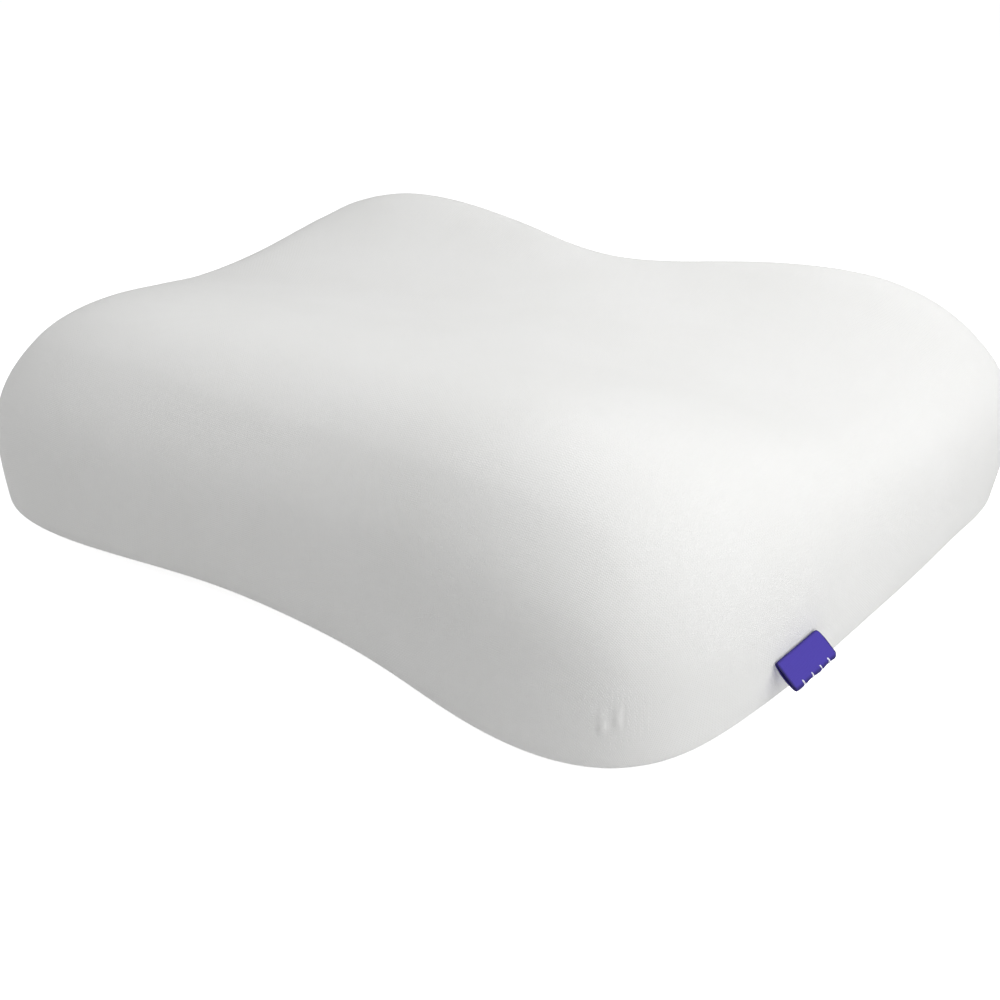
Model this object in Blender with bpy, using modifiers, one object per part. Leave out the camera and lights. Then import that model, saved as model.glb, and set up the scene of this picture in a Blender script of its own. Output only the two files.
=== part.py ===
# Cervical pillow: one filled, contoured body in a stretch cover, and the folded loop label sewn
# to its right-hand end. Metres, +Z up. The pillow lies on its flat underside at z = 0, with its
# origin under the middle of its box, its width along X and its front, the neck side, towards -Y.
import math

import bmesh
import bpy
from mathutils import Vector
from mathutils.bvhtree import BVHTree

# Plan
HALF_WIDTH = 0.2875  # middle to end, halfway from front to back
WIDER_BACK = 0.12  # share by which the back is wider than the middle, and the front narrower
END_BOW = -0.02  # share by which the ends draw in at mid depth
FRONT_DEPTH = 0.225  # middle to the front lobes, before their corners are rounded
BACK_DEPTH = 0.225  # middle to the back lobes
FRONT_WAIST = 0.037  # depth of the long dip in the front edge
FRONT_WAIST_REACH = 0.68  # its reach, as a share of the half width
BACK_WAIST = 0.030  # depth of the short dip in the back edge
BACK_WAIST_REACH = 0.25
PLAN_ROUNDNESS = 5.5  # 2 is an ellipse, and a larger value is squarer

# Walls
WIDEST_HEIGHT = 0.021  # level of the widest line, above which the wall rises to the crown
WALL_ROUNDNESS = 4.5  # top edge of the front and back walls
END_ROUNDNESS = 4.1  # top edge of the two ends
END_BLEND = 0.02  # how softly one kind of top edge passes into the other
FOOT_ROUNDNESS = 3.1  # lower edge, all round
FLAT_SHARE = 1.06  # 1 leaves the underside rounded, and more presses it flat

# Crown: height of the top above the surface. Each row is a section, from the middle of the
# width to the end, mirrored to the other end. Each column is a line from end to end.
CROWN_LINES = {"front": -0.75, "front_middle": -0.25, "back_middle": 0.25, "back": 0.75}
CROWN = [
    {"across": 0.00, "front": 0.133, "front_middle": 0.130, "back_middle": 0.115, "back": 0.132},
    {"across": 0.50, "front": 0.144, "front_middle": 0.133, "back_middle": 0.113, "back": 0.140},
    {"across": 0.85, "front": 0.137, "front_middle": 0.135, "back_middle": 0.122, "back": 0.143},
]

# Cells of the block that the body is shaped from, along its three sides
BODY_CELLS = (34, 24, 10)

# Folded loop label: a woven strip folded double, its two ends caught against the end wall
LABEL_LENGTH = 0.0376  # along the wall
LABEL_REACH = 0.0154  # from the wall to its fold
LABEL_DROOP = math.radians(35)  # below level
LABEL_PLACE_Y = -0.1066  # its middle, front to back
LABEL_HEIGHT = 0.0443  # where it leaves the wall
TAPE_THICKNESS = 0.0007
LAYER_SPACING = 0.0011  # between the middles of the two layers
LABEL_CLEARANCE = 0.0004  # to the wall
LABEL_COLUMNS = 6  # cells along its length
LAYER_CELLS = 3  # cells from the wall to the fold, on each layer
FOLD_CELLS = 6  # cells round the fold

COVER = {"colour": (0.80, 0.80, 0.79, 1.0), "roughness": 0.90}
TAPE = {"colour": (0.092, 0.063, 0.418, 1.0), "roughness": 0.75}


def clear_scene():
    for thing in list(bpy.data.objects):
        bpy.data.objects.remove(thing)


def make_material(name, finish):
    material = bpy.data.materials.new(name)
    material.use_nodes = True
    shader = material.node_tree.nodes["Principled BSDF"]
    shader.inputs["Base Color"].default_value = finish["colour"]
    shader.inputs["Roughness"].default_value = finish["roughness"]
    shader.inputs["Metallic"].default_value = 0.0
    material.diffuse_color = finish["colour"]
    return material


def add_object(name, bm, material, collection):
    mesh = bpy.data.meshes.new(name)
    bm.to_mesh(mesh)
    mesh.materials.append(material)
    mesh.shade_smooth()
    made = bpy.data.objects.new(name, mesh)
    collection.objects.link(made)
    return made


def curve_through(stations, values, at):
    """The smooth curve through a few stations, read at one place."""
    total = 0.0
    for i, station in enumerate(stations):
        share = 1.0
        for j, other in enumerate(stations):
            if j != i:
                share *= (at - other) / (station - other)
        total += values[i] * share
    return total


def crown_height(across, along):
    """Height of the top, with across from -1 to 1 end to end and along from -1 to 1 front to back."""
    lines = list(CROWN_LINES.values())
    sections = [curve_through(lines, [row[line] for line in CROWN_LINES], along) for row in CROWN]
    places = [row["across"] ** 2 for row in CROWN]
    return curve_through(places, sections, across**2)


def dip(across, reach):
    """A smooth dip in an edge: 1 in the middle of the width, and 0 well past its reach."""
    return math.exp(-((across / reach) ** 2))


def pillow_point(block):
    """Where a point of the block, which runs from -1 to 1 each way, goes on the pillow."""
    plan = (abs(block.x) ** PLAN_ROUNDNESS + abs(block.y) ** PLAN_ROUNDNESS) ** (1 / PLAN_ROUNDNESS)
    end_share = block.x**4 / (block.x**4 + block.y**4 + END_BLEND)
    roundness = FOOT_ROUNDNESS
    if block.z >= 0:
        roundness = WALL_ROUNDNESS + (END_ROUNDNESS - WALL_ROUNDNESS) * end_share
    reach = (plan**roundness + abs(block.z) ** roundness) ** (1 / roundness)
    across, along, up = block / reach

    half_width = HALF_WIDTH * (1 + WIDER_BACK * along + END_BOW * (1 - along**2))
    half_depth = BACK_DEPTH - BACK_WAIST * dip(across, BACK_WAIST_REACH)
    if along < 0:
        half_depth = FRONT_DEPTH - FRONT_WAIST * dip(across, FRONT_WAIST_REACH)
    height = WIDEST_HEIGHT * max(0.0, 1 + up * FLAT_SHARE)
    if up >= 0:
        height = WIDEST_HEIGHT + up * (crown_height(across, along) - WIDEST_HEIGHT)
    return Vector((across * half_width, along * half_depth, height))


def divide_block(bm, axis, cells):
    """Cuts the block into even cells along one axis."""
    direction = Vector((0, 0, 0))
    direction[axis] = 1.0
    for i in range(1, cells):
        everything = list(bm.verts) + list(bm.edges) + list(bm.faces)
        bmesh.ops.bisect_plane(
            bm,
            geom=everything,
            plane_co=direction * (2 * i / cells - 1),
            plane_no=direction,
            dist=1e-6,
        )


def body_shape():
    """The pillow's skin, centred front to back on its own box."""
    bm = bmesh.new()
    bmesh.ops.create_cube(bm, size=2)
    for axis, cells in enumerate(BODY_CELLS):
        divide_block(bm, axis, cells)
    for vert in bm.verts:
        vert.co = pillow_point(vert.co)
    front = min(vert.co.y for vert in bm.verts)
    back = max(vert.co.y for vert in bm.verts)
    bmesh.ops.translate(bm, verts=bm.verts, vec=(0, -(front + back) / 2, 0))
    bm.normal_update()
    return bm


def wall_point(wall, y):
    """The end wall's face at the label's height."""
    outside = Vector((HALF_WIDTH * 2, y, LABEL_HEIGHT))
    return wall.ray_cast(outside, Vector((-1, 0, 0)))[0]


def fold_profile(step):
    """One point of the folded strip's section, as its distance from the wall and its offset from
    the middle: out along the upper layer, round the fold and back along the lower layer."""
    half = LAYER_SPACING / 2
    straight = LABEL_REACH - half
    if step <= LAYER_CELLS:
        return straight * step / LAYER_CELLS, half
    if step >= LAYER_CELLS + FOLD_CELLS:
        left = 2 * LAYER_CELLS + FOLD_CELLS - step
        return straight * left / LAYER_CELLS, -half
    turn = math.pi * (step - LAYER_CELLS) / FOLD_CELLS
    return straight + half * math.sin(turn), half * math.cos(turn)


def label_shape(body):
    """The middle surface of the folded strip, laid against the end wall."""
    wall = BVHTree.FromBMesh(body)
    near = wall_point(wall, LABEL_PLACE_Y - LABEL_LENGTH / 2)
    far = wall_point(wall, LABEL_PLACE_Y + LABEL_LENGTH / 2)
    along = (far - near).normalized()
    outward = Vector((along.y, -along.x, 0))
    droop = outward * math.cos(LABEL_DROOP) - Vector((0, 0, math.sin(LABEL_DROOP)))
    upward = along.cross(droop) * -1.0
    lower_edge = (LAYER_SPACING + TAPE_THICKNESS) / 2 * math.sin(LABEL_DROOP)
    bulge = max((wall_point(wall, y) - near).dot(outward) for y in (near.y, LABEL_PLACE_Y, far.y))
    root = (near + far) / 2 + outward * (LABEL_CLEARANCE + lower_edge + bulge)

    bm = bmesh.new()
    steps = 2 * LAYER_CELLS + FOLD_CELLS
    bmesh.ops.create_grid(bm, x_segments=LABEL_COLUMNS, y_segments=steps, size=0.5)
    for vert in bm.verts:
        reach, offset = fold_profile(round((vert.co.y + 0.5) * steps))
        vert.co = root + along * (vert.co.x * LABEL_LENGTH) + droop * reach + upward * offset
    bm.normal_update()
    return bm


def build():
    clear_scene()
    collection = bpy.data.collections.new("cervical_pillow")
    bpy.context.scene.collection.children.link(collection)
    body = body_shape()
    add_object("pillow_body", body, make_material("knit_cover", COVER), collection)
    label = label_shape(body)
    folded = add_object("side_label", label, make_material("label_tape", TAPE), collection)
    thickness = folded.modifiers.new("tape", "SOLIDIFY")
    thickness.thickness = TAPE_THICKNESS
    thickness.offset = 0.0
    label.free()
    body.free()


build()
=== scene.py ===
import math

import bmesh
import bpy
from mathutils import Matrix, Vector, noise
from mathutils.bvhtree import BVHTree
from mathutils.kdtree import KDTree


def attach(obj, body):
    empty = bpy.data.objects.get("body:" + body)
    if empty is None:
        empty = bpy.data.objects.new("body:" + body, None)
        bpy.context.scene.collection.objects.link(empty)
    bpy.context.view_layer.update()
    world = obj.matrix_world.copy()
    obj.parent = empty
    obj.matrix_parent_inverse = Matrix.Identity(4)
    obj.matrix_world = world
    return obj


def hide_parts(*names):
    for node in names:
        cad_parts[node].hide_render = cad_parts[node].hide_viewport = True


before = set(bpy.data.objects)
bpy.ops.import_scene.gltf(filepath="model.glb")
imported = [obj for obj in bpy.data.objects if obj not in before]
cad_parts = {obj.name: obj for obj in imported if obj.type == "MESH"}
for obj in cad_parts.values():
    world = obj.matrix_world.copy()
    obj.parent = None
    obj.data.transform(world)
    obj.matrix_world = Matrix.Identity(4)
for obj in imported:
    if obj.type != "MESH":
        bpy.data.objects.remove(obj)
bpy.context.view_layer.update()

# A contoured neck pillow in a smooth white knit cover, lying on a plain white floor.
# Everything is in metres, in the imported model's own frame: +X to the labelled end, -Y the
# neck side, +Z up.

print("stage: shared helpers")


def hexColour(code):  # sRGB hex to linear
    shares = [int(code[place:place + 2], 16) / 255 for place in (1, 3, 5)]
    linear = [s / 12.92 if s <= 0.04045 else ((s + 0.055) / 1.055) ** 2.4 for s in shares]
    return (*linear, 1.0)


def newMaterial(name):  # a material with nothing but its output and shader
    material = bpy.data.materials.new(name)
    material.use_nodes = True
    shader = material.node_tree.nodes["Principled BSDF"]
    return material, material.node_tree, shader


def addNode(tree, kind, values=None, links=None, **settings):
    node = tree.nodes.new(kind)
    for name, value in settings.items():
        setattr(node, name, value)
    for socket, value in (values or {}).items():
        node.inputs[socket].default_value = value
    for socket, source in (links or {}).items():
        tree.links.new(source, node.inputs[socket])
    return node


def newPiece(name, bm, material):  # a finished piece: its object stays at the origin
    mesh = bpy.data.meshes.new(name)
    bm.to_mesh(mesh)
    bm.free()
    mesh.materials.append(material)
    mesh.shade_smooth()
    piece = bpy.data.objects.new(name, mesh)
    bpy.context.scene.collection.objects.link(piece)
    return piece


def appliedMesh(piece):  # the piece's mesh with its modifiers applied
    graph = bpy.context.evaluated_depsgraph_get()
    return bpy.data.meshes.new_from_object(piece.evaluated_get(graph))


def softStep(low, high, at):
    share = min(max((at - low) / (high - low), 0.0), 1.0)
    return share * share * (3 - 2 * share)


def hump(distance, width):  # 1 at the middle, fading to 0 over about two widths
    return math.exp(-((distance / width) ** 2))


# The cover: polyester jersey, weft knitted and stretched over foam. To the eye it is matt
# white, with a faint sheen where it turns away and a fine grain of stitches.
print("stage: materials")

coverFinish = {
    "colour": "#F3F3F2",
    "shadeColour": "#ECECEA",  # the white varies a little between these two
    "cloudSize": 0.09,  # across one lighter or greyer patch
    "roughness": 0.92,
    "roughnessDown": 0.06,  # the fibres vary it by this much down and up
    "roughnessUp": 0.04,
    "sheen": 0.10,
    "sheenRoughness": 0.5,
    "specular": 0.25,
    "waleSpacing": 0.0018,  # a real wale is about 0.9 mm: drawn coarser so that it shows
    "courseSpacing": 0.0015,  # a real course is about 0.7 mm: drawn coarser too
    "stitchDepth": 0.00012,
    "bump": 0.28,
    "ribShare": 0.6,  # how much the ribs between wales add to the loops
    "fibreSize": 0.0012,  # fuzz of loose fibres, far finer on real cloth
    "fibreShare": 1.4,
}


def makeCoverMaterial():
    f = coverFinish
    material, tree, shader = newMaterial("polyesterJerseyKnitted")
    cloth = addNode(tree, "ShaderNodeUVMap", uv_map="cloth")
    split = addNode(tree, "ShaderNodeSeparateXYZ", links={"Vector": cloth.outputs["UV"]})
    wales = addNode(tree, "ShaderNodeMath", operation="MULTIPLY",
                    values={1: 1 / f["waleSpacing"]}, links={0: split.outputs["X"]})
    courses = addNode(tree, "ShaderNodeMath", operation="MULTIPLY",
                      values={1: 1 / f["courseSpacing"]}, links={0: split.outputs["Y"]})
    # each stitch is a V: its legs lean up to the gap between two wales
    leg = addNode(tree, "ShaderNodeMath", operation="PINGPONG", values={1: 0.5},
                  links={0: wales.outputs[0]})
    slant = addNode(tree, "ShaderNodeMath", operation="ADD",
                    links={0: courses.outputs[0], 1: leg.outputs[0]})
    turn = addNode(tree, "ShaderNodeMath", operation="MULTIPLY", values={1: math.tau},
                   links={0: slant.outputs[0]})
    loops = addNode(tree, "ShaderNodeMath", operation="SINE", links={0: turn.outputs[0]})
    ribTurn = addNode(tree, "ShaderNodeMath", operation="MULTIPLY", values={1: math.tau},
                      links={0: wales.outputs[0]})
    ribs = addNode(tree, "ShaderNodeMath", operation="COSINE", links={0: ribTurn.outputs[0]})
    grain = addNode(tree, "ShaderNodeMath", operation="MULTIPLY_ADD", values={1: f["ribShare"]},
                    links={0: ribs.outputs[0], 2: loops.outputs[0]})
    place = addNode(tree, "ShaderNodeTexCoord")
    fibres = addNode(tree, "ShaderNodeTexNoise",
                     values={"Scale": 1 / f["fibreSize"], "Detail": 2.0},
                     links={"Vector": place.outputs["Object"]})
    height = addNode(tree, "ShaderNodeMath", operation="MULTIPLY_ADD",
                     values={1: f["fibreShare"]},
                     links={0: fibres.outputs["Fac"], 2: grain.outputs[0]})
    bump = addNode(tree, "ShaderNodeBump",
                   values={"Strength": f["bump"], "Distance": f["stitchDepth"]},
                   links={"Height": height.outputs[0]})
    tree.links.new(bump.outputs["Normal"], shader.inputs["Normal"])
    clouds = addNode(tree, "ShaderNodeTexNoise",
                     values={"Scale": 1 / f["cloudSize"], "Detail": 3.0},
                     links={"Vector": place.outputs["Object"]})
    colour = addNode(tree, "ShaderNodeMix", data_type="RGBA",
                     values={6: hexColour(f["shadeColour"]), 7: hexColour(f["colour"])},
                     links={0: clouds.outputs["Fac"]})
    tree.links.new(colour.outputs[2], shader.inputs["Base Color"])
    rough = addNode(tree, "ShaderNodeMapRange",
                    values={"To Min": f["roughness"] - f["roughnessDown"],
                            "To Max": f["roughness"] + f["roughnessUp"]},
                    links={"Value": fibres.outputs["Fac"]})
    tree.links.new(rough.outputs["Result"], shader.inputs["Roughness"])
    shader.inputs["Sheen Weight"].default_value = f["sheen"]
    shader.inputs["Sheen Roughness"].default_value = f["sheenRoughness"]
    shader.inputs["Specular IOR Level"].default_value = f["specular"]
    return material


coverMaterial = makeCoverMaterial()

# The filled body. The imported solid's grid is smoothed to a fine skin, pressed out a little
# by its filling as cloth, and then seamed round the foot and puckered by one corner.
print("stage: pillow body")

pillow = {
    "pressure": 4.0,
    "frames": 20,
    "shrink": 0.02,  # the cover is cut this much smaller than the foam
    "bending": 1.0,
    "foamHold": 0.6,  # how firmly the foam holds the cloth in place
    "foamStiffness": 0.5,
    "restHeight": 0.003,  # below this the cloth is held fast by the surface under it
    "mostSwell": 0.0030,
    "broadRounds": 20,  # rounds of averaging that find the broad part of the swelling
    "unevenness": 0.00035,
    "unevennessSize": 0.07,
    "unevenFrom": (0.015, 0.05),  # heights between which the unevenness sets in
    "wallTop": 0.135,  # where the cloth turns down the sides
    "widestLine": 0.021,
}
footSeam = {  # where the upper and lower cloths join, turned under all round
    "height": 0.0085,
    "rows": 7,
    "rowGap": 0.0008,
    "depth": 0.0010,
    "width": 0.0012,
    "stitchGap": 0.0032,
    "stitchPull": 0.35,  # how much deeper the cloth is drawn in at a stitch
    "cuts": 3,  # in each edge along the seam, so that the stitches show
}
trims = {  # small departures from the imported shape, along the normal, seen in its outline
    "reach": 0.05,
    "from": (0.001, 0.010),  # heights between which they set in, so the underside stays flat
    "places": [
        {"at": (0.258, -0.142, 0.022), "out": -0.0021},
        {"at": (0.296, 0.098, 0.018), "out": -0.0024},
        {"at": (0.298, 0.150, 0.085), "out": 0.0052},
        {"at": (0.092, -0.203, 0.015), "out": -0.0006},
        {"at": (0.145, -0.208, 0.015), "out": 0.0010},
        {"at": (0.198, -0.210, 0.015), "out": 0.0008},
        {"at": (-0.238, -0.198, 0.010), "out": -0.0005},
        {"at": (0.010, -0.194, 0.014), "out": 0.0008},
        {"at": (0.048, 0.172, 0.127), "out": -0.0018},
        {"at": (-0.056, 0.177, 0.125), "out": 0.0012},
    ],
}
puckers = {  # two short gathers low on the neck side, each laid from two humps
    "fineReach": 0.016,  # the mesh is cut finer this far round them
    "fadeReach": 1.2,  # and they end at this many times as far
    "places": [
        {"at": (0.2165, -0.2062, 0.0408), "lean": 0.10,
         "width": 0.0018, "length": 0.0032, "rise": 0.00075},
        {"at": (0.2156, -0.2064, 0.0468), "lean": 0.10,
         "width": 0.0016, "length": 0.0040, "rise": 0.00018},
        {"at": (0.2222, -0.2028, 0.0456), "lean": 0.00,
         "width": 0.0020, "length": 0.0052, "rise": 0.00060},
        {"at": (0.2247, -0.2018, 0.0457), "lean": 0.00,
         "width": 0.0008, "length": 0.0052, "rise": -0.00014},
    ],
}


def quadMesh(name):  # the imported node's loose triangles, merged and paired into quads
    bm = bmesh.new()
    bm.from_mesh(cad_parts[name].data)
    bmesh.ops.remove_doubles(bm, verts=bm.verts, dist=1e-5)
    bmesh.ops.join_triangles(bm, faces=bm.faces, angle_face_threshold=math.radians(40),
                             angle_shape_threshold=math.radians(60))
    bm.normal_update()
    return bm


def subdivided(piece, levels):
    rounding = piece.modifiers.new("rounding", "SUBSURF")
    rounding.levels = rounding.render_levels = levels
    piece.data = appliedMesh(piece)
    piece.modifiers.clear()


def makeBody():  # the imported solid's points, joined by a smooth fine skin
    body = newPiece("pillow_cover", quadMesh("pillow_body"), coverMaterial)
    wanted = [vert.co.copy() for vert in body.data.vertices]
    rounding = body.modifiers.new("rounding", "SUBSURF")
    rounding.levels = rounding.render_levels = 2
    for _ in range(3):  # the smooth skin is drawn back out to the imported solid's points
        smooth = appliedMesh(body)
        for vert, goal in zip(body.data.vertices, wanted):
            vert.co += goal - smooth.vertices[vert.index].co
        body.data.update()
        bpy.data.meshes.remove(smooth)
    body.modifiers.clear()
    subdivided(body, 1)
    return body


def pressOut(body):  # the stretched cloth is pulled in and its filling presses it out
    before = [vert.co.copy() for vert in body.data.vertices]
    foam = body.vertex_groups.new(name="foam")
    for vert in body.data.vertices:
        rests = vert.co.z < pillow["restHeight"]
        foam.add([vert.index], 1.0 if rests else pillow["foamHold"], "REPLACE")
    cloth = body.modifiers.new("filling", "CLOTH")
    cloth.settings.vertex_group_mass = "foam"
    cloth.settings.pin_stiffness = pillow["foamStiffness"]
    cloth.settings.use_pressure = True
    cloth.settings.uniform_pressure_force = pillow["pressure"]
    cloth.settings.shrink_min = pillow["shrink"]
    cloth.settings.effector_weights.gravity = 0
    cloth.settings.bending_stiffness = pillow["bending"]
    cloth.collision_settings.use_collision = False
    for step in range(1, pillow["frames"] + 1):
        bpy.context.scene.frame_set(step)
    pressed = appliedMesh(body)
    body.modifiers.clear()
    body.vertex_groups.clear()
    moves = []
    for vert, start in zip(body.data.vertices, before):
        move = pressed.vertices[vert.index].co - start
        most = pillow["mostSwell"]
        if move.length > 1e-9:
            move *= most * math.tanh(move.length / most) / move.length
        moves.append(move)
    broad = evened(body.data, moves, pillow["broadRounds"])
    for vert, start, move, wide in zip(body.data.vertices, before, moves, broad):
        vert.co = start + move - wide  # the broad swelling is taken back, so the size stays
    bpy.data.meshes.remove(pressed)
    bpy.context.scene.frame_set(1)
    print("  swell in mm:", round(1000 * sum(move.length for move in moves) / len(moves), 2))


def evened(mesh, moves, rounds):  # each point's move, averaged over its neighbours
    for _ in range(rounds):
        total = [move.copy() for move in moves]
        share = [1] * len(moves)
        for edge in mesh.edges:
            one, other = edge.vertices
            total[one] += moves[other]
            total[other] += moves[one]
            share[one] += 1
            share[other] += 1
        moves = [move / count for move, count in zip(total, share)]
    return moves


body = makeBody()
pressOut(body)
subdivided(body, 1)


def cutFine(bm, faces, cuts):
    edges = list({edge for face in faces for edge in face.edges})
    bmesh.ops.subdivide_edges(bm, edges=edges, cuts=cuts, use_grid_fill=True)


def seamLoop(bm):  # points round the seam's line, each with its distance along it
    level = [vert.co.copy() for vert in bm.verts
             if abs(vert.co.z - footSeam["height"]) < 1e-5]
    level.sort(key=lambda point: math.atan2(point.y, point.x))
    points, along = [], 0.0
    for point, after in zip(level, level[1:] + level[:1]):
        points.append((point, along))
        along += (after - point).length
    return points


def sewFoot(bm):  # cuts level rows round the foot, then draws the cloth in along the middle one
    half = footSeam["rows"] // 2
    for row in range(-half, half + 1):
        height = footSeam["height"] + row * footSeam["rowGap"]
        bmesh.ops.bisect_plane(bm, geom=list(bm.verts) + list(bm.edges) + list(bm.faces),
                               dist=1e-5, plane_co=(0, 0, height), plane_no=(0, 0, 1))
    reach = (half + 0.5) * footSeam["rowGap"]
    inBand = [edge for edge in bm.edges
              if all(abs(vert.co.z - footSeam["height"]) < reach for vert in edge.verts)
              and abs(edge.verts[0].co.z - edge.verts[1].co.z) < footSeam["rowGap"] * 0.5]
    bmesh.ops.subdivide_edges(bm, edges=inBand, cuts=footSeam["cuts"], use_grid_fill=True)
    points = seamLoop(bm)
    print("  foot seam points", len(points), "length", round(points[-1][1], 3))
    lookup = KDTree(len(points))
    for number, (point, _) in enumerate(points):
        lookup.insert(point, number)
    lookup.balance()
    bm.normal_update()
    moves = {}
    for vert in bm.verts:
        off = vert.co.z - footSeam["height"]
        if abs(off) < footSeam["width"] * 3 and vert.co.z > 0.002:
            along = points[lookup.find(vert.co)[1]][1]
            stitch = math.cos(math.tau * along / footSeam["stitchGap"])
            pull = 1 + footSeam["stitchPull"] * stitch
            moves[vert] = vert.normal * -footSeam["depth"] * hump(off, footSeam["width"]) * pull
    for vert, move in moves.items():
        vert.co += move


def gather(bm):  # raises the puckers on a finer patch of the mesh
    middles = [Vector(pucker["at"]) for pucker in puckers["places"]]
    for _ in range(2):
        near = [face for face in bm.faces
                if min((face.calc_center_median() - at).length for at in middles)
                < puckers["fineReach"]]
        cutFine(bm, near, 1)
    bm.normal_update()
    moves = {}
    for vert in bm.verts:
        away = min((vert.co - at).length for at in middles)
        if away > puckers["fineReach"] * puckers["fadeReach"]:
            continue
        rise = 0.0
        for pucker, at in zip(puckers["places"], middles):
            side = Vector((0, 0, 1)).cross(vert.normal).normalized()
            apart = vert.co - at
            up = apart.z
            across = apart.dot(side) - pucker["lean"] * up
            rise += pucker["rise"] * hump(across, pucker["width"]) * hump(up, pucker["length"])
        moves[vert] = vert.normal * rise
    for vert, move in moves.items():
        vert.co += move


def unevenTop(bm):  # the foam is never quite even: broad waves with half as strong, finer ones
    bm.normal_update()
    broad = pillow["unevennessSize"]
    fine, apart = broad * 0.45, Vector((7, 3, 5))
    for vert in bm.verts:
        keep = softStep(*pillow["unevenFrom"], vert.co.z)
        wave = noise.noise(vert.co / broad)
        wave += 0.5 * noise.noise(vert.co / fine + apart)
        vert.co += vert.normal * wave * pillow["unevenness"] * keep


def trimOutline(bm):
    bm.normal_update()
    for vert in bm.verts:
        out = sum(trim["out"] * hump((vert.co - Vector(trim["at"])).length, trims["reach"])
                  for trim in trims["places"])
        vert.co += vert.normal * out * softStep(*trims["from"], vert.co.z)


def layCloth(bm):  # metres along the cloth: level on top, then drawn down over the sides
    cloth = bm.loops.layers.uv.new("cloth")
    for face in bm.faces:
        under = face.calc_center_median().z < footSeam["height"]
        for loop in face.loops:
            at, facing = loop.vert.co, loop.vert.normal
            level = Vector((facing.x, facing.y))
            if at.z < pillow["widestLine"] and level.length > 1e-6:
                level.normalize()
            drop = 0.0 if under else max(pillow["wallTop"] - at.z, 0.0)
            loop[cloth].uv = (at.x + level.x * drop, at.y + level.y * drop)


def finishBody(body):
    bm = bmesh.new()
    bm.from_mesh(body.data)
    trimOutline(bm)
    unevenTop(bm)
    sewFoot(bm)
    gather(bm)
    for vert in bm.verts:  # the underside lies flat
        vert.co.z = max(vert.co.z, 0.0)
    bm.normal_update()
    layCloth(bm)
    bm.to_mesh(body.data)
    bm.free()
    body.data.shade_smooth()


finishBody(body)
print("  cover faces", len(body.data.polygons))
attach(body, "root")
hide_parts("pillow_body")

# The side label: a narrow damask tape, woven in violet polyester, folded double with its two
# ends caught against the end wall, and tacked along its fold with white thread. To the eye
# it is dense and slightly glossy, with a fine check of threads whose floats carry a painted
# highlight, and painted shade darkens it towards its ends, its fold and its edge by the wall.
print("stage: side label")

tape = {
    "length": 0.0357,  # along the wall
    "reach": 0.0159,  # from the wall to its fold
    "droop": math.radians(36.5),
    "middleY": -0.1046,
    "height": 0.0435,  # where it leaves the wall
    "lean": 0.0024,  # its far end is this much higher than its near end
    "thickness": 0.0007,
    "layerGap": 0.0011,  # between the middles of its two layers
    "gape": 0.0011,  # the loop stands this far open at its near end
    "cornerRound": 0.0030,  # far corner of the fold; the near end is cut square
    "nearCornerRound": 0.0009,
    "turnedIn": (0.0024, 0.0060),  # far corner by the wall: along it, and out from it
    "edge": 0.0011,  # width of the painted edge shade at its two ends
    "foldShadeWidth": 0.0014,  # and at the fold
    "wallShadeWidth": 0.0009,  # and by the wall
    "waver": 0.00025,  # how far the fold's edge wanders
    "waverPitch": 410,  # turns of that wave, in radians a metre
    "bow": 0.0006,  # how far it arches up along its fold
    "columns": 60,
    "layerCells": 12,
    "foldCells": 8,
}
tack = {  # the white stitches over the fold
    "places": (-0.0113, -0.0037, 0.0035, 0.0106),  # along the label, from its middle
    "width": 0.0011,
    "lift": 0.00012,  # from the cloth to the middle of the thread
    "drawIn": 0.0004,  # how far a stitch lies inside the fold's edge
    "dip": 0.0005,  # how far the fold is pulled in at a stitch
    "dipWidth": 0.0008,
    "reach": 0.0016,  # from the fold back over the face
    "sides": 8,
    "bends": 8,  # round the fold
    "thin": 0.45,  # its two ends are this much thinner
    "grooveShadeAndTopColours": ("#E9E9F2", "#FBFBFF"),  # painted shade in the twist's grooves, and white on the twist
    "twistScale": 900.0,  # gives bands 0.4 mm apart, about as its plies would lie
    "roughness": 0.6,
    "sheen": 0.2,
}
tapeFinish = {
    "face": "#4436A4",
    # painted shade: the weave darkens to this near the tape's ends, its fold and its edge by the
    # wall
    "paintedEdgeShade": "#2C2272",
    "float": "#5A4CB8",  # weft threads that float on top, lightened by a painted highlight where they catch the light
    "threadSpacing": 0.0009,  # real damask has about 0.2 mm: drawn coarser so that it shows
    "floatHighlightShare": 0.35,
    "weaveDepth": 0.00010,
    "bump": 0.5,
    "roughness": 0.62,
    "sheen": 0.05,
    "specular": 0.30,
}


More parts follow.
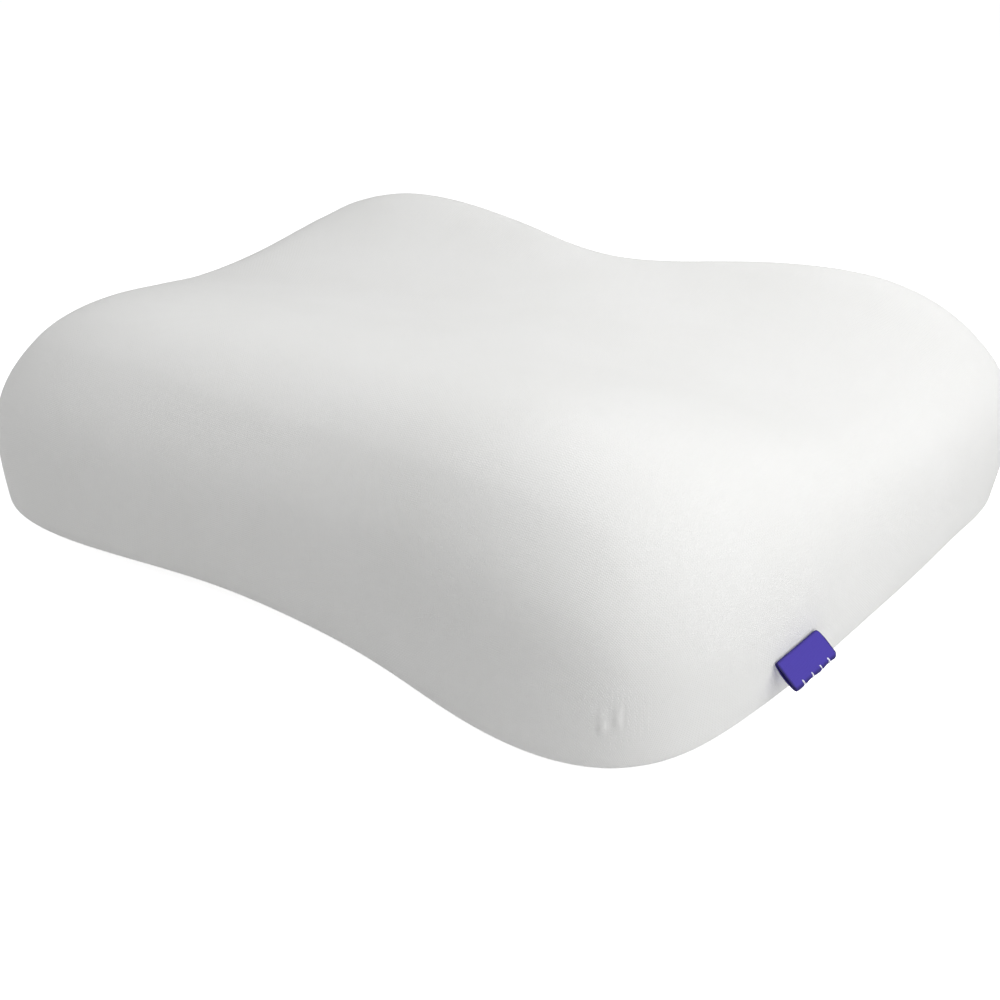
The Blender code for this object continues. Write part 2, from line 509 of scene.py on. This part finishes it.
def makeTapeMaterial():
    f = tapeFinish
    material, tree, shader = newMaterial("polyesterDamaskWoven")
    cloth = addNode(tree, "ShaderNodeUVMap", uv_map="cloth")
    split = addNode(tree, "ShaderNodeSeparateXYZ", links={"Vector": cloth.outputs["UV"]})
    warp = addNode(tree, "ShaderNodeMath", operation="MULTIPLY",
                   values={1: math.tau / f["threadSpacing"]}, links={0: split.outputs["X"]})
    weft = addNode(tree, "ShaderNodeMath", operation="MULTIPLY",
                   values={1: math.tau / f["threadSpacing"]}, links={0: split.outputs["Y"]})
    across = addNode(tree, "ShaderNodeMath", operation="SINE", links={0: warp.outputs[0]})
    along = addNode(tree, "ShaderNodeMath", operation="SINE", links={0: weft.outputs[0]})
    weave = addNode(tree, "ShaderNodeMath", operation="MULTIPLY",
                    links={0: across.outputs[0], 1: along.outputs[0]})
    level = addNode(tree, "ShaderNodeMapRange", values={"From Min": -1.0, "From Max": 1.0},
                    links={"Value": weave.outputs[0]})
    bump = addNode(tree, "ShaderNodeBump",
                   values={"Strength": f["bump"], "Distance": f["weaveDepth"]},
                   links={"Height": level.outputs["Result"]})
    tree.links.new(bump.outputs["Normal"], shader.inputs["Normal"])
    # the floats of the weave are lightened towards the float colour: a painted highlight
    threads = addNode(tree, "ShaderNodeMix", data_type="RGBA",
                      values={6: hexColour(f["face"]), 7: hexColour(f["float"])})
    glint = addNode(tree, "ShaderNodeMath", operation="MULTIPLY", values={1: f["floatHighlightShare"]},
                    links={0: level.outputs["Result"]})
    tree.links.new(glint.outputs[0], threads.inputs[0])
    # painted shade darkens the weave towards the tape's ends, its fold and its edge by the wall
    edge = addNode(tree, "ShaderNodeAttribute", attribute_name="paintedEdgeShade")
    colour = addNode(tree, "ShaderNodeMix", data_type="RGBA",
                     values={7: hexColour(f["paintedEdgeShade"])},
                     links={0: edge.outputs["Fac"], 6: threads.outputs[2]})
    tree.links.new(colour.outputs[2], shader.inputs["Base Color"])
    shader.inputs["Roughness"].default_value = f["roughness"]
    shader.inputs["Sheen Weight"].default_value = f["sheen"]
    shader.inputs["Specular IOR Level"].default_value = f["specular"]
    return material


# The tacks: polyester thread, spun and twisted. To the eye it is bright white and soft, with
# its twist just showing, and with painted shade in the grooves of the twist.
def makeThreadMaterial():
    material, tree, shader = newMaterial("polyesterThreadSpun")
    place = addNode(tree, "ShaderNodeTexCoord")
    twist = addNode(tree, "ShaderNodeTexWave", bands_direction="DIAGONAL",
                    values={"Scale": tack["twistScale"], "Distortion": 1.0},
                    links={"Vector": place.outputs["Object"]})
    bump = addNode(tree, "ShaderNodeBump", values={"Strength": 0.4, "Distance": 0.0001},
                   links={"Height": twist.outputs["Fac"]})
    tree.links.new(bump.outputs["Normal"], shader.inputs["Normal"])
    # painted shade: the colour darkens in the grooves of the twist
    colour = addNode(tree, "ShaderNodeMix", data_type="RGBA",
                     values={6: hexColour(tack["grooveShadeAndTopColours"][0]), 7: hexColour(tack["grooveShadeAndTopColours"][1])},
                     links={0: twist.outputs["Fac"]})
    tree.links.new(colour.outputs[2], shader.inputs["Base Color"])
    shader.inputs["Roughness"].default_value = tack["roughness"]
    shader.inputs["Sheen Weight"].default_value = tack["sheen"]
    return material


def wallPoint(wall, share):  # where the strip meets the wall, share -0.5 to 0.5 along it
    y = tape["middleY"] + share * tape["length"]
    z = tape["height"] + share * tape["lean"]
    return wall.ray_cast(Vector((0.6, y, z)), Vector((-1, 0, 0)))[0]  # from well outside it


def tapeFrame(wall):  # the line along the wall where the tape starts, and its three directions
    near, far = wallPoint(wall, -0.5), wallPoint(wall, 0.5)
    along = (far - near).normalized()
    outward = Vector((along.y, -along.x, 0)).normalized()
    droop = outward * math.cos(tape["droop"]) - Vector((0, 0, math.sin(tape["droop"])))
    upward = droop.cross(along).normalized()
    bulge = max((wallPoint(wall, share) - near).dot(outward) for share in (-0.5, 0.0, 0.5))
    sunk = (tape["layerGap"] + tape["thickness"]) / 2 * math.sin(tape["droop"])
    return (near + far) / 2 + outward * (bulge + sunk * 0.6), along, droop, upward


def foldPoint(step, reach, gape):  # out on the upper layer, round the fold, back on the lower
    half = tape["layerGap"] / 2
    straight = reach - half
    if step <= tape["layerCells"]:
        return straight * step / tape["layerCells"], half
    if step >= tape["layerCells"] + tape["foldCells"]:
        left = (2 * tape["layerCells"] + tape["foldCells"] - step) / tape["layerCells"]
        return straight * left, -half - gape * math.sin(math.pi * left)
    turn = math.pi * (step - tape["layerCells"]) / tape["foldCells"]
    return straight + half * math.sin(turn), half * math.cos(turn)


def cornerLoss(at):  # how far a rounded corner draws the edge back
    half = tape["length"] / 2
    for side, size in ((1, tape["cornerRound"]), (-1, tape["nearCornerRound"])):
        past = side * at - (half - size)
        if past > 0:
            return size - math.sqrt(max(size * size - past * past, 0.0))
    return 0.0


def startLoss(at):  # how far a corner by the wall is cut back from it
    wide, out = tape["turnedIn"]
    past = at - (tape["length"] / 2 - wide)
    if past > 0:
        return out * (1 - math.sqrt(max(1 - (past / wide) ** 2, 0.0)))
    return 0.8 * cornerLoss(at) if at < 0 else 0.0


def makeLabel(wall):  # the folded strip, with its flat shape kept as its cloth map
    root, along, droop, upward = tapeFrame(wall)
    steps = 2 * tape["layerCells"] + tape["foldCells"]
    bm = bmesh.new()
    bmesh.ops.create_grid(bm, x_segments=tape["columns"], y_segments=steps, size=0.5)
    clothMap = bm.loops.layers.uv.new("cloth")
    paintedEdgeShade = bm.verts.layers.float.new("paintedEdgeShade")
    flatPlaces = {}
    for vert in bm.verts:
        at = vert.co.x * tape["length"]
        step = round((vert.co.y + 0.5) * steps)
        pull = sum(hump(at - place, tack["dipWidth"]) for place in tack["places"]) * tack["dip"]
        wave = tape["waver"] * math.sin(at * tape["waverPitch"] + 0.7)
        gape = tape["gape"] * (0.6 - 0.8 * at / tape["length"])
        reach, offset = foldPoint(step, tape["reach"] - cornerLoss(at) - pull + wave, gape)
        start = startLoss(at) * (1 - reach / tape["reach"])
        fromEnd = tape["length"] / 2 - abs(at)
        # share of painted shade: near its two ends, near its fold and beside the wall
        edge = max(1 - softStep(0.0002, tape["edge"], fromEnd),
                   softStep(tape["reach"] - tape["foldShadeWidth"], tape["reach"] - 0.0004, reach),
                   1 - softStep(0.0003, tape["wallShadeWidth"], reach))
        vert[paintedEdgeShade] = edge
        flatPlaces[vert] = (at, step)
        bow = tape["bow"] * (1 - (2 * at / tape["length"]) ** 2) * (reach / tape["reach"]) ** 2
        vert.co = root + along * at + droop * (reach + start) + upward * (offset + bow)
    for face in bm.faces:
        for loop in face.loops:
            at, step = flatPlaces[loop.vert]
            loop[clothMap].uv = (at, step * 2 * tape["reach"] / steps)
    label = newPiece("side_tape", bm, makeTapeMaterial())
    layer = label.modifiers.new("thickness", "SOLIDIFY")
    layer.thickness = tape["thickness"]
    layer.offset = 0.0
    label.data = appliedMesh(label)
    label.modifiers.clear()
    return label, (root, along, droop, upward)


def addStitch(bm, points):  # a short round thread laid through a few points
    rings = []
    for number, point in enumerate(points):
        before = points[max(number - 1, 0)]
        after = points[min(number + 1, len(points) - 1)]
        turn = (after - before).to_track_quat("Z", "Y").to_matrix().to_4x4()
        thin = tack["thin"] if number in (0, len(points) - 1) else 1.0
        made = bmesh.ops.create_circle(bm, cap_ends=False, segments=tack["sides"],
                                       radius=tack["width"] / 2 * thin,
                                       matrix=Matrix.Translation(point) @ turn)
        rings.append(made["verts"])
    for lower, upper in zip(rings, rings[1:]):
        edges = [edge for edge in bm.edges
                 if (edge.verts[0] in lower and edge.verts[1] in lower)
                 or (edge.verts[0] in upper and edge.verts[1] in upper)]
        bmesh.ops.bridge_loops(bm, edges=edges)
    for ring in (rings[0], rings[-1]):
        bmesh.ops.contextual_create(bm, geom=ring)


def makeTacks(lay):  # white stitches that wrap round the folded edge
    root, along, droop, upward = lay
    bm = bmesh.new()
    bend = (tape["layerGap"] + tape["thickness"]) / 2 + tack["lift"]
    centre = tape["reach"] - tape["layerGap"] / 2 - tack["drawIn"]
    start, sunk = centre - tack["reach"], bend - 0.0003  # each end goes down into the cloth
    for place in tack["places"]:
        path = [(start, sunk), (centre - tack["reach"] / 2, bend)]
        for number in range(tack["bends"] + 1):
            turn = math.pi * number / tack["bends"]
            path.append((centre + bend * math.sin(turn), bend * math.cos(turn)))
        path += [(centre - tack["reach"] / 2, -bend), (start, -sunk)]
        points = [root + along * place + droop * out + upward * up for out, up in path]
        addStitch(bm, points)
    bmesh.ops.recalc_face_normals(bm, faces=bm.faces)
    return newPiece("side_tape_tacks", bm, makeThreadMaterial())


coverTree = BVHTree.FromObject(body, bpy.context.evaluated_depsgraph_get())
label, labelLay = makeLabel(coverTree)
tacks = makeTacks(labelLay)
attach(label, "root")
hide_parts("side_label")
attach(tacks, "root")

print("stage: floor, light and camera")

studio = {
    "floorColour": "#F0F0F0",
    "floorRoughness": 0.9,
    "floorGlow": 0.80,  # seen by the camera alone, so that it stays pale round the shadow
    "floorSize": 16.0,
    "floorGap": 0.0002,  # it lies this far under the pillow, so that they share no plane
    "skyStrength": 0.245,
    "lamps": [  # softboxes: place, side length and watts
        {"at": (0.938, -0.165, 0.630), "size": 1.1, "watts": 3.70},
        {"at": (0.531, -0.142, 1.033), "size": 0.7, "watts": 4.75},
        {"at": (0.000, 0.778, 0.858), "size": 0.7, "watts": 3.9},
        {"at": (-1.004, -0.580, 0.391), "size": 0.7, "watts": 2.5},
    ],
    "aim": (0.0, 0.0, 0.08),
}
view = {  # a near camera, above the corner between the neck side and the labelled end
    "azimuth": 34.25,
    "elevation": 29.29,
    "distance": 0.7837,
    "aimRight": 0.0181,  # it looks at a point this far right of the middle
    "aimHeight": -0.0083,
    "focalShare": 1.1389,  # focal length over the frame's width
    "sensor": 36.0,
}


def makeFloor():  # background paper, rolled and matt: to the eye an even white
    material, tree, shader = newMaterial("paperRolledMatt")
    shader.inputs["Base Color"].default_value = hexColour(studio["floorColour"])
    shader.inputs["Roughness"].default_value = studio["floorRoughness"]
    shader.inputs["Emission Color"].default_value = (1, 1, 1, 1)
    path = addNode(tree, "ShaderNodeLightPath")
    glow = addNode(tree, "ShaderNodeMath", operation="MULTIPLY",
                   values={1: studio["floorGlow"]}, links={0: path.outputs["Is Camera Ray"]})
    tree.links.new(glow.outputs[0], shader.inputs["Emission Strength"])
    bm = bmesh.new()
    bmesh.ops.create_grid(bm, x_segments=8, y_segments=8, size=studio["floorSize"] / 2,
                          matrix=Matrix.Translation((0, 0, -studio["floorGap"])))
    floor = newPiece("floor", bm, material)
    return floor


def aimAt(thing, target):  # turns a lamp or camera to face a point
    thing.rotation_mode = "QUATERNION"
    thing.rotation_quaternion = (Vector(target) - thing.location).to_track_quat("-Z", "Y")


def makeLights():
    for number, lamp in enumerate(studio["lamps"]):
        light = bpy.data.lights.new("softbox_%d" % number, "AREA")
        light.shape = "SQUARE"
        light.size = lamp["size"]
        light.energy = lamp["watts"]
        holder = bpy.data.objects.new("softbox_%d" % number, light)
        holder.location = lamp["at"]
        holder.visible_camera = False
        bpy.context.scene.collection.objects.link(holder)
        aimAt(holder, studio["aim"])

    world = bpy.data.worlds.new("studio")
    world.use_nodes = True
    bpy.context.scene.world = world
    tree = world.node_tree
    back = tree.nodes["Background"]
    back.inputs["Color"].default_value = (1, 1, 1, 1)
    path = addNode(tree, "ShaderNodeLightPath")
    strength = addNode(tree, "ShaderNodeMapRange",
                       values={"To Min": studio["skyStrength"], "To Max": 1.0},
                       links={"Value": path.outputs["Is Camera Ray"]})
    tree.links.new(strength.outputs["Result"], back.inputs["Strength"])


def makeCamera():
    side, rise = math.radians(view["azimuth"]), math.radians(view["elevation"])
    level = math.cos(rise)
    back = Vector((math.sin(side) * level, -math.cos(side) * level, math.sin(rise)))
    target = Vector((math.cos(side), math.sin(side), 0)) * view["aimRight"]
    target.z = view["aimHeight"]
    lens = bpy.data.cameras.new("photographer")
    lens.sensor_width = view["sensor"]
    lens.lens = view["sensor"] * view["focalShare"]
    lens.clip_start = 0.01
    camera = bpy.data.objects.new("photographer", lens)
    camera.location = target + back * view["distance"]
    bpy.context.scene.collection.objects.link(camera)
    aimAt(camera, target)
    bpy.context.scene.camera = camera


makeFloor()
makeLights()
makeCamera()
bpy.context.scene.view_settings.view_transform = "Standard"
